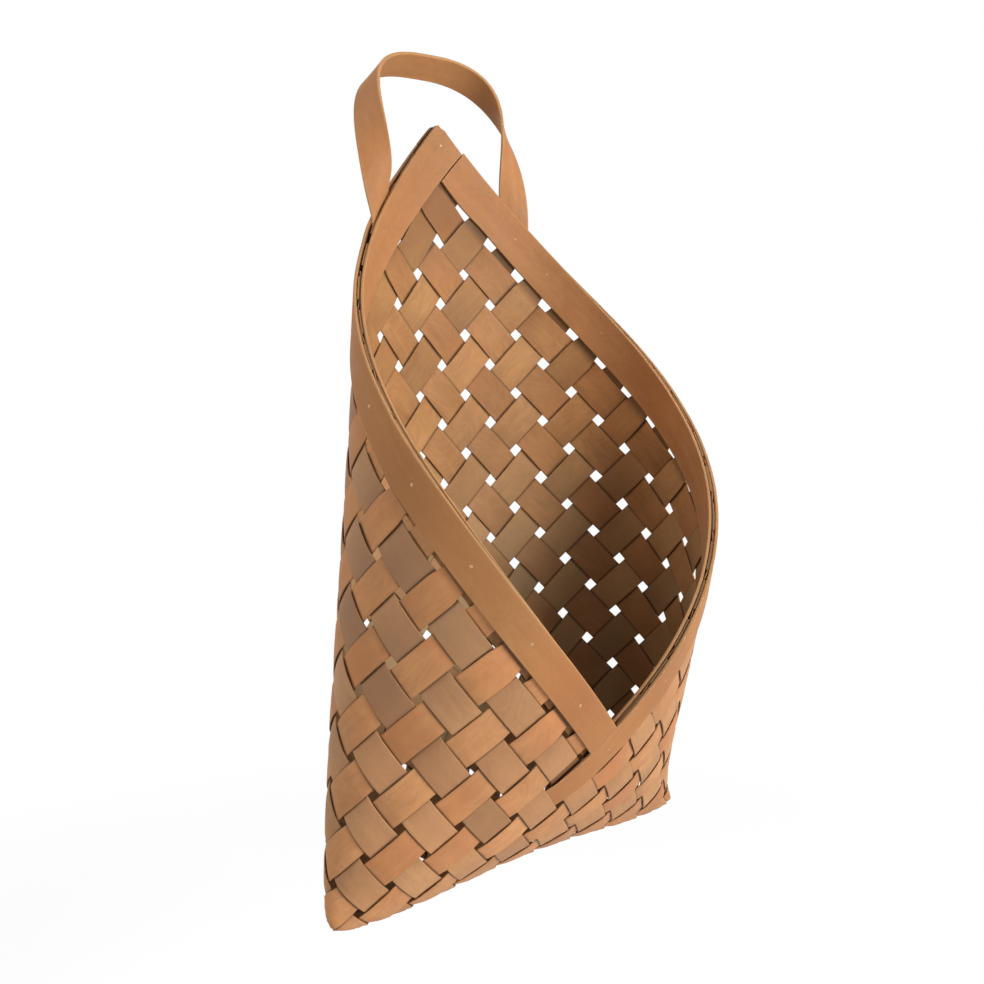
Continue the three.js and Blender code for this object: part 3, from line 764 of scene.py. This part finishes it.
def splint(name, on_left_lane, centre, start, stop, turn, first_sign, tucked, finish):
    """One splint along its lane or row; past its turn it lies in a rim. Its height is the sign of the
    crossing times a swing, and the swing is the rim's, plus bulge cos cos - cup e e where it is free;
    e is -1 and 1 at the edges. A rocking grows with the place across."""
    width = SPLINT_WIDTH * chance.uniform(*WIDTH_SPREAD)
    section = places, heights = ribbon_section(width, SPLINT_THICK, SPLINT_EDGE)
    run = stations(start, stop)[:, None]
    first = on_left_lane and centre < 1
    depth, lower, upper = (rim_depth(lane, run) if on_left_lane else rim_depth(run, lane)
                           for lane in (centre, centre - PROBE, centre + PROBE))
    border = smooth(run - turn - BORDER_FROM)
    free = smooth((depth - RIM_FROM) / RIM_EASE)
    narrow = RIM_NARROW + (1 - RIM_NARROW) * free + (BORDER_WIDE - RIM_NARROW) * border
    across = centre + (places * narrow + slow_wave(run, WANDER)) / PITCH
    across = across - BORDER_RISE * np.sign(upper - lower) * border
    across = across - CORNER_SHIFT * smooth((CORNER_STOP - run) / CORNER_EASE) * first
    spot = weave_spot(across, run) if on_left_lane else weave_spot(run, across)
    bump = np.cos(math.pi * (run - np.floor(run) - 0.5)) ** 2
    edgeways = places / np.abs(places).max()
    swing = RIM_SWING + (SWING - RIM_SWING + BULGE * bump - CUP * edgeways ** 2) * free
    # The slit share lowers the splint into a real dip and also darkens it with painted shade.
    slit = np.exp(-((run - SLIT_RUN) / SLIT_REACH) ** 2) * first
    lift = over_under(run, first_sign, tucked) * swing + slow_wave(run, ROCK) * places * free
    lift = lift - SLIT_DEEP * slit
    along = run.ravel() * PITCH + chance.uniform(0, GRAIN_STARTS)
    tone = wavy_share(run, chance.normal(*TONE_SPREAD), *TONE_WAVE)
    tint = wavy_share(run, chance.normal(*TINT_SPREAD), *TINT_WAVE)
    shade = splint_shade(run, heights, depth, spot[0][..., 0] > 0, slit, first_sign, tucked)
    piece = ribbon(name, *spot, lift, section, along, tone, shade, tint)
    piece.data.materials.append(finish)
    return piece


print("splints swing", SWING * 1000, "mm to either side")

# %% [markdown]
# Half of the lanes are enough, because each splint comes back up in another lane as its own partner.
# One splint of each set goes on past the front crossing and lies in the other rim as its border.

# %% All splints
def splint_runs():
    """Lane, end, turn and tuck of each splint. It has come back to its rim in its partner's lane when
    its run is twice the fold's row less both lanes."""
    runs = []
    for lane in np.arange(0.5, ROUND):
        partner = (FOLD_ROW - ROUND / 2 - lane) % ROUND
        turn = 2 * FOLD_ROW - lane - partner
        border = partner + 0.5 == ROUND
        stop = turn + ROUND - BORDER_STOP if border else turn - SPLINT_END
        if lane < partner:
            runs.append((lane, stop, turn, lane < BORDER_STOP))
    return runs


SPLINT_SETS = (("right", True, 1, GREY_SPLINT), ("left", False, -1, WARM_SPLINT))
for lane, stop, turn, tucked in splint_runs():
    even = 1 if math.floor(lane) % 2 == 0 else -1
    for side, on_left_lane, sense, finish in SPLINT_SETS:
        node = f"splint_{side}_{math.ceil(lane)}"
        piece = splint(f"{node}_wood", on_left_lane, lane, SPLINT_END, stop, turn, even * sense,
                       tucked, finish)
        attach(piece, "root")
        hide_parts(node)
print("splints:", len(SPLINT_SETS) * len(splint_runs()))

# %% [markdown]
# ## Rim bands
# Each rim is two bent bands, one on each side of the weave, held by brads. They are thicker than the
# splints and planed smooth, with broken edges that catch the light. Here they press closer on the
# weave than the solids do, and only the legs of the loop hold the outer bands off. At the peak one
# band laps the other, and at the front the right outer band runs on past the crossing. There it is
# shaved thin and dives under the weave, lying on the border splint.

# %% Bands
WOOD_THICK = 0.0017
BAND_EDGE = 0.0005
BAND_WAVE = 0.0002
STEPS_PER_PITCH = 14
RIM_FACE = 0.00095
LEG_ROOM = 0.0007
LEG_REACH = 1.3
LEG_EASE = 0.7
CORNER_CUT = 0.11
CORNER_FADE = 0.4
BAND_SLIM = 0.07
SLIM_FROM = 0.7
TAIL = 1.62 * PITCH
TAIL_FROM = ROUND + 0.15
TAIL_EASE = 0.8
TAIL_THIN = 0.22
BAND_TONE = (0.5, 0.2)
BAND_TINT = (0.35, 0.4)
BAND_SHADE = 0.4
BUTT = BUTT_CLEAR / PITCH
VALLEY = ROUND + BAND_HIGH - BUTT


def band(name, on_left, start, stop, side):
    """Band along one rim; side is +1 outside the weave and -1 inside it. Its middle lies off the
    sheet by the height of its inner face plus half its thickness. Along the tail both run over to
    those of a thin strip on the border splint, by a smooth step."""
    width = BAND_WIDTH if side > 0 else INNER_WIDTH
    section = places, heights = ribbon_section(width, WOOD_THICK, BAND_EDGE)
    run = np.linspace(start, stop, int((stop - start) * STEPS_PER_PITCH))[:, None]
    along = run.ravel() * PITCH + chance.uniform(0, GRAIN_STARTS)
    across = BAND_HIGH + (places + width / 2) / PITCH
    if side < 0 and not on_left:
        across = BAND_HIGH + (across - BAND_HIGH) * (1 - BAND_SLIM * smooth(run - SLIM_FROM))
    if start < BAND_LOW:
        corner = CORNER_CUT * np.clip(1 - (across - BAND_HIGH) / CORNER_CUT / 2, 0, 1)
        run = run + corner * np.exp((start - run) / CORNER_FADE)
    spot = weave_spot(across, run) if on_left else weave_spot(run, across)
    leg = smooth((LEG_REACH - np.abs(run - across + LEG_AROUND)) / LEG_EASE)
    room = LEG_ROOM * leg if side > 0 else 0
    tail = smooth((run - TAIL_FROM) / TAIL_EASE)
    thin = 1 - (1 - TAIL_THIN) * tail
    woven = SWING * over_under(run, 1, False) + SPLINT_THICK / 2
    face = RIM_FACE + room + np.abs(slow_wave(run, BAND_WAVE))
    face = face + (woven - face) * tail
    lift = side * (face + thin * WOOD_THICK / 2) + (thin - 1) * heights
    tone = wavy_share(run, *BAND_TONE)
    tint = wavy_share(run, *BAND_TINT)
    # Painted shade on the band's face that lies against the weave.
    shade = BAND_SHADE * smooth((side * -heights - WOOD_THICK / 4) / (WOOD_THICK / 4))
    piece = ribbon(name, *spot, lift, section, along, tone, shade, tint)
    piece.data.materials.append(BAND_WOOD)
    return piece


BANDS = {
    "band_left_inner": (True, PEAK_END, ROUND + INNER_LOW, -1),
    "band_left_outer": (True, BAND_LOW + BUTT, VALLEY, 1),
    "band_right_inner": (False, INNER_LOW + BUTT, VALLEY, -1),
    "band_right_outer": (False, BAND_HIGH, ROUND + TAIL / PITCH, 1),
}
for node, facts in BANDS.items():
    piece = band(f"{node}_wood", *facts)
    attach(piece, "root")
    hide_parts(node)
print("bands:", list(BANDS))

# %% [markdown]
# ## The hanging loop
# The loop is one strap. Its thinned legs lie between the weave and the outer bands. Above the rim it
# twists by about a quarter turn on each side, so that the crown lies on a hook. The path is a Bezier
# curve, and the direction across the strap turns smoothly along it.

# %% Half of the loop
SHOULDER_UP = 1.7 * PITCH
SHOULDER_ACROSS = 2.21 * PITCH
LEG_THICK = 0.00145
LEG_STATIONS = 14
LOOP_STATIONS = 70
SLANT_POWER = 4
THICKEN_END = 0.5


def bezier(ends, t):
    """Points and unit tangents of a cubic curve: sss A + 3tss B + 3tts C + ttt D, s = 1 - t."""
    s = 1 - t
    weights = (s ** 3, 3 * t * s ** 2, 3 * t * t * s, t ** 3)
    path = sum(weight * end for weight, end in zip(weights, ends))
    slopes = (s ** 2, 2 * t * s, t * t)
    tangent = sum(3 * slope * (b - a) for slope, a, b in zip(slopes, ends, ends[1:]))
    return path, unit(tangent)


def loop_half(section, easing):
    """Middle points, normals and thickness of the left half, from the foot of the leg to the crown.
    The twist and the tilt follow a smooth step of t to the power of the easing."""
    around = LEG_AROUND + section[0] / HALF_STEP
    foot_row = 2 * BAND_LOW - TUCK / PITCH - around
    share = np.linspace(0, 1, LEG_STATIONS, endpoint=False)[:, None]
    up = (FOLD_ROW - (foot_row * (1 - share) + (LEG_TOP_ROW - around) * share)) * HALF_STEP
    leg_normals = sheet_normal(around, up)
    leg = sheet_point(around, up) + leg_normals * LEG_LIFT

    t = np.linspace(0, 1, LOOP_STATIONS)[:, None]
    ends = [leg_top, leg_top + [0, 0, SHOULDER_UP], crown - [SHOULDER_ACROSS, 0, 0], crown]
    path, tangent = bezier(ends, t)
    ease = smooth(t ** easing)
    leg_twist = math.atan2(-leg_normal[0], leg_normal[1])
    twist = leg_twist * (1 - ease) - math.pi / 2 * ease
    across = np.concatenate([np.cos(twist), np.sin(twist), np.tan(CROWN_TILT * ease)], axis=1)
    across = unit(across - np.sum(across * tangent, axis=1, keepdims=True) * tangent)
    normal = np.cross(tangent, across)
    across = across + tangent * (1 - t) ** SLANT_POWER
    strap = path[:, None, :] + across[:, None, :] * section[0][None, :, None]
    strap_normals = np.broadcast_to(normal[:, None, :], strap.shape)
    swell = (STRAP_THICK - LEG_THICK) * np.minimum(t.ravel() / THICKEN_END, 1)
    thick = LEG_THICK + np.concatenate([np.zeros(LEG_STATIONS), swell])
    return np.concatenate([leg, strap]), np.concatenate([leg_normals, strap_normals]), thick


print("crown", round((crown[2] - leg_top[2]) * 1000), "mm above the rim")

# %% [markdown]
# The right half is the left one mirrored, but it twists at another pace, as a strap bent by hand
# does. A running mean rounds the bend where the legs leave the rim.

# %% Whole loop
LEFT_EASE = 0.46
RIGHT_EASE = 0.66
PATH_EASE = 2
TWIST_EASE = 5
LOOP_TONE = (0.7, 0.12)

section = ribbon_section(STRAP_WIDTH, STRAP_THICK, BAND_EDGE)
left, left_normals, left_thick = loop_half(section, LEFT_EASE)
right, right_normals, right_thick = loop_half(section, RIGHT_EASE)
mirror = np.array([-1, 1, 1])
middle = running_mean(np.concatenate([left, right[::-1] * mirror]), PATH_EASE, 0, "edge")
normals = np.concatenate([left_normals, right_normals[::-1] * mirror])
normals = unit(running_mean(normals, TWIST_EASE, 0, "edge"))
thick = np.concatenate([left_thick, right_thick[::-1]])
thin = (thick[:, None] / STRAP_THICK - 1) * section[1]
steps = np.linalg.norm(np.diff(middle[:, FACE_STEPS], axis=0), axis=1)
along = np.concatenate([[0], np.cumsum(steps)])
tone = wavy_share(along[:, None] / PITCH, *LOOP_TONE)
tint = wavy_share(along[:, None] / PITCH, *BAND_TINT)
loop = ribbon("loop_wood", middle, normals, thin, section, along, tone, 0.0, tint)
loop.data.materials.append(BAND_WOOD)
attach(loop, "root")
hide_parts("loop")
print("loop length", round(along[-1] * 1000), "mm")

# %% [markdown]
# ## Brads
# Small brads hold the rims. Each has a low domed head on the outer band and a tip that is clinched
# flat on the inner band. They are dull steel that has taken on the tone of brass, mottled by age.

# %% Brad finish
ROUGH_BY_MOTTLE = (*MID_NOISE, 0.32, 0.5)


def brad_finish():
    """Half metal, half dull coat: a fine noise sets the colour, the gloss and a slight relief."""
    material = bpy.data.materials.new("brad_steel")
    tree = empty_tree(material)
    noise = add_node(tree, "ShaderNodeTexNoise", inputs={"Scale": 1400, "Detail": 3})
    coords = add_node(tree, "ShaderNodeTexCoord").outputs["Object"]
    tree.links.new(coords, noise.inputs["Vector"])
    mottle = noise.outputs["Fac"]
    colour = blend_colour(tree, mottle, srgb(158, 118, 82), srgb(212, 176, 134))
    surface(tree, colour, remap(tree, mottle, *ROUGH_BY_MOTTLE), mottle,
            {"Strength": 0.2, "Distance": 0.0001}, {"Metallic": 0.5})
    return material


BRAD_STEEL = brad_finish()
print("finish:", BRAD_STEEL.name)

# %% [markdown]
# A brad is a turned body: its profile, radius against height, goes once round the normal of the
# sheet. The two ends of the profile are poles closed with triangles.

# %% One brad
BRAD_SIDES = 20
DOME_STEPS = 6
HEAD_RADIUS = 0.00085
CLINCH_RADIUS = 0.0006
SHANK_RADIUS = 0.0004
HEAD_RISE = 0.00026
CLINCH_RISE = 0.6 * HEAD_RISE
NECK = 0.0001


def brad_profile(room):
    """Radius and height from the clinched tip to the head, and the heights of both poles.
    Each dome is a quarter of an oval: radius R cos a, height rise sin a."""
    face = RIM_FACE + WOOD_THICK
    top = face + room
    dome = np.linspace(0, math.pi / 2, DOME_STEPS + 1)[:-1]
    radius = np.concatenate([CLINCH_RADIUS * np.sin(dome[1:]),
                             [CLINCH_RADIUS, SHANK_RADIUS, SHANK_RADIUS],
                             HEAD_RADIUS * np.cos(dome)])
    height = np.concatenate([-face - CLINCH_RISE * np.cos(dome[1:]),
                             [-face, -face + NECK, top - NECK],
                             top + HEAD_RISE * np.sin(dome)])
    return radius, height, np.array([-face - CLINCH_RISE, top + HEAD_RISE])


def brad(name, lane, row, room):
    """Brad through a rim at one place of the weave; room is what a leg of the loop adds.
    Point: radius (cos a side + sin a up) + height normal."""
    radius, height, poles = brad_profile(room)
    point, normal = weave_spot(lane, row)
    side = unit(np.cross(normal, [0, 0, 1]))
    up = np.cross(normal, side)
    angle = np.linspace(0, 2 * math.pi, BRAD_SIDES, endpoint=False)
    circle = np.cos(angle)[:, None] * side + np.sin(angle)[:, None] * up
    rings = radius[:, None, None] * circle + height[:, None, None] * normal
    points = np.concatenate([rings.reshape(-1, 3), poles[:, None] * normal]) + point + SHIFT

    k = np.arange(BRAD_SIDES)
    after = (k + 1) % BRAD_SIDES
    here = np.arange(len(radius) - 1)[:, None] * BRAD_SIDES
    ahead = here + BRAD_SIDES
    quads = np.stack([here + k, ahead + k, ahead + after, here + after], -1).reshape(-1, 4)
    last = (len(radius) - 1) * BRAD_SIDES
    foot = np.stack([np.full(BRAD_SIDES, len(points) - 2), k, after], -1)
    head = np.stack([np.full(BRAD_SIDES, len(points) - 1), last + after, last + k], -1)
    if signed_volume(points, quads) < 0:
        quads, foot, head = quads[:, ::-1], foot[:, ::-1], head[:, ::-1]
    mesh = bpy.data.meshes.new(name)
    mesh.from_pydata(points, [], quads.tolist() + foot.tolist() + head.tolist())
    mesh.materials.append(BRAD_STEEL)
    return link_mesh(name, mesh)


print("brad heads", round(2 * HEAD_RADIUS * 1000, 1), "mm across")

# %% [markdown]
# Brads go through every second splint along both rims. One more holds each of the peak, the front
# crossing and the two legs of the loop.

# %% All brads
BRAD_STEP = 2
LEG_RUN = BAND_MIDDLE - LEG_AROUND
brad_places = {
    "brad_loop_left": (BAND_MIDDLE, LEG_RUN, LEG_ROOM),
    "brad_loop_right": (LEG_RUN, BAND_MIDDLE, LEG_ROOM),
    "brad_peak": (BAND_MIDDLE, BAND_MIDDLE, 0),
    "brad_valley": (BAND_MIDDLE, ROUND + BAND_MIDDLE, 0),
}
for run in np.arange(BORDER_STOP - 0.5, ROUND - BRAD_STEP, BRAD_STEP):
    brad_places[f"brad_left_{math.floor(run)}"] = (BAND_MIDDLE, run, 0)
    brad_places[f"brad_right_{math.floor(run)}"] = (run, BAND_MIDDLE, 0)
for node, (lane, row, room) in brad_places.items():
    piece = brad(f"{node}_steel", lane, row, room)
    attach(piece, "root")
    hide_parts(node)
print("brads:", len(brad_places))

# %% [markdown]
# ## Floor, light and camera
# The photograph shows the basket against plain white. A pale floor lies well below the basket, as it
# hangs, and keeps a soft shadow. It glows a little for the rays that see it, and fades to white
# further out, so no edge shows.

# %% Floor
FLOOR_DROP = 0.26
FLOOR_HALF = 4.0
FLOOR_GLOW = 0.5
FADE_RADII = (0.35, 0.9)
PALE = (0.8, 0.8, 0.8, 1)
WHITE = (1, 1, 1, 1)
floor_z = cad_low.z - FLOOR_DROP
corners = [(x * FLOOR_HALF, y * FLOOR_HALF, floor_z) for x, y in ((-1, -1), (1, -1), (1, 1), (-1, 1))]
floor_mesh = bpy.data.meshes.new("floor")
floor_mesh.from_pydata(corners, [], [(0, 1, 2, 3)])
floor = add_object("floor", floor_mesh)


def seen_directly(tree):
    """1 for camera, glossy and transmission rays, and 0 for the light that surfaces pass on."""
    rays = add_node(tree, "ShaderNodeLightPath").outputs
    return calc(tree, "MAXIMUM", rays["Is Camera Ray"], rays["Is Glossy Ray"],
                rays["Is Transmission Ray"])


def floor_finish():
    """Diffuse plus glow near the basket, blended to white by the distance from its middle."""
    material = bpy.data.materials.new("pale_floor")
    tree = empty_tree(material)
    seen = seen_directly(tree)
    diffuse = add_node(tree, "ShaderNodeBsdfDiffuse", inputs={"Color": PALE})
    glow = add_node(tree, "ShaderNodeEmission", inputs={"Color": WHITE})
    tree.links.new(calc(tree, "MULTIPLY", seen, FLOOR_GLOW), glow.inputs["Strength"])
    near = add_node(tree, "ShaderNodeAddShader")
    tree.links.new(diffuse.outputs[0], near.inputs[0])
    tree.links.new(glow.outputs[0], near.inputs[1])
    white = add_node(tree, "ShaderNodeEmission", inputs={"Color": WHITE, "Strength": 1.0})
    level = add_node(tree, "ShaderNodeVectorMath", {"operation": "MULTIPLY"}, {1: (1, 1, 0)})
    tree.links.new(add_node(tree, "ShaderNodeTexCoord").outputs["Object"], level.inputs[0])
    far = add_node(tree, "ShaderNodeVectorMath", {"operation": "LENGTH"})
    tree.links.new(level.outputs[0], far.inputs[0])
    fade = calc(tree, "MULTIPLY", seen, remap(tree, far.outputs["Value"], *FADE_RADII))
    mixed = add_node(tree, "ShaderNodeMixShader")
    for source, socket in zip((fade, near.outputs[0], white.outputs[0]), mixed.inputs):
        tree.links.new(source, socket)
    output = add_node(tree, "ShaderNodeOutputMaterial")
    tree.links.new(mixed.outputs[0], output.inputs["Surface"])
    return material


floor_mesh.materials.append(floor_finish())
print("floor at", round(floor_z, 3))

# %% [markdown]
# The light is plain and soft: a low key lamp in front, a fill from behind on the left, a faint lamp
# on the right, and a dim white world. The world is white only for the rays that see it.

# %% World and lamps
AMBIENT = 0.14
LAMP_DISTANCE = 2.2
LAMP_SIZE = 1.2
world = bpy.data.worlds.new("studio")
bpy.context.scene.world = world
tree = empty_tree(world)
sky = add_node(tree, "ShaderNodeBackground", inputs={"Color": WHITE})
tree.links.new(remap(tree, seen_directly(tree), 0, 1, AMBIENT, 1.0), sky.inputs["Strength"])
output = add_node(tree, "ShaderNodeOutputWorld")
tree.links.new(sky.outputs[0], output.inputs["Surface"])


def lamp(name, azimuth, elevation, power):
    """Square soft lamp that looks at the middle of the basket.
    Direction: (sin a cos e, -cos a cos e, sin e), with a from the front towards the right."""
    light = bpy.data.lights.new(name, "AREA")
    light.shape = "SQUARE"
    light.size = LAMP_SIZE
    light.energy = power
    made = add_object(name, light)
    centre = (cad_low + cad_high) / 2
    a, e = math.radians(azimuth), math.radians(elevation)
    back = Vector((math.sin(a) * math.cos(e), -math.cos(a) * math.cos(e), math.sin(e)))
    made.location = centre + back * LAMP_DISTANCE
    made.rotation_mode = "QUATERNION"
    made.rotation_quaternion = (-back).to_track_quat("-Z", "Y")


LAMPS = {"key": (12, 13, 49), "fill": (-110, 42, 25), "right": (55, 12, 6)}
for name, facts in LAMPS.items():
    lamp(name, *facts)
print("lamps:", list(LAMPS))

# %% [markdown]
# The camera stands where the photograph was taken from, on the left and a little above. Its place
# is counted in pitches, in the coordinates of the sheet.

# %% Camera
FOCAL_PIXELS = 1231
PHOTO_SIDE = 984
SENSOR = 36.0
CAMERA_PITCHES = (-18.564, -22.454, 12.454)
CAMERA_AHEAD = (0.662, 0.7393, -0.1231)
CAMERA_RIGHT = (0.7439, -0.6682, -0.0125)
camera_data = bpy.data.cameras.new("camera")
camera_data.sensor_width = SENSOR
camera_data.lens = SENSOR * FOCAL_PIXELS / PHOTO_SIDE
camera = add_object("camera", camera_data)
ahead = Vector(CAMERA_AHEAD).normalized()
right = Vector(CAMERA_RIGHT)
right = (right - right.dot(ahead) * ahead).normalized()
above = right.cross(ahead)
place = Vector(np.array(CAMERA_PITCHES) * PITCH + SHIFT)
turn = Matrix((right, above, -ahead)).transposed().to_4x4()
camera.matrix_world = Matrix.Translation(place) @ turn
bpy.context.scene.camera = camera
bpy.context.scene.view_settings.view_transform = "Standard"
print("camera at", tuple(place))
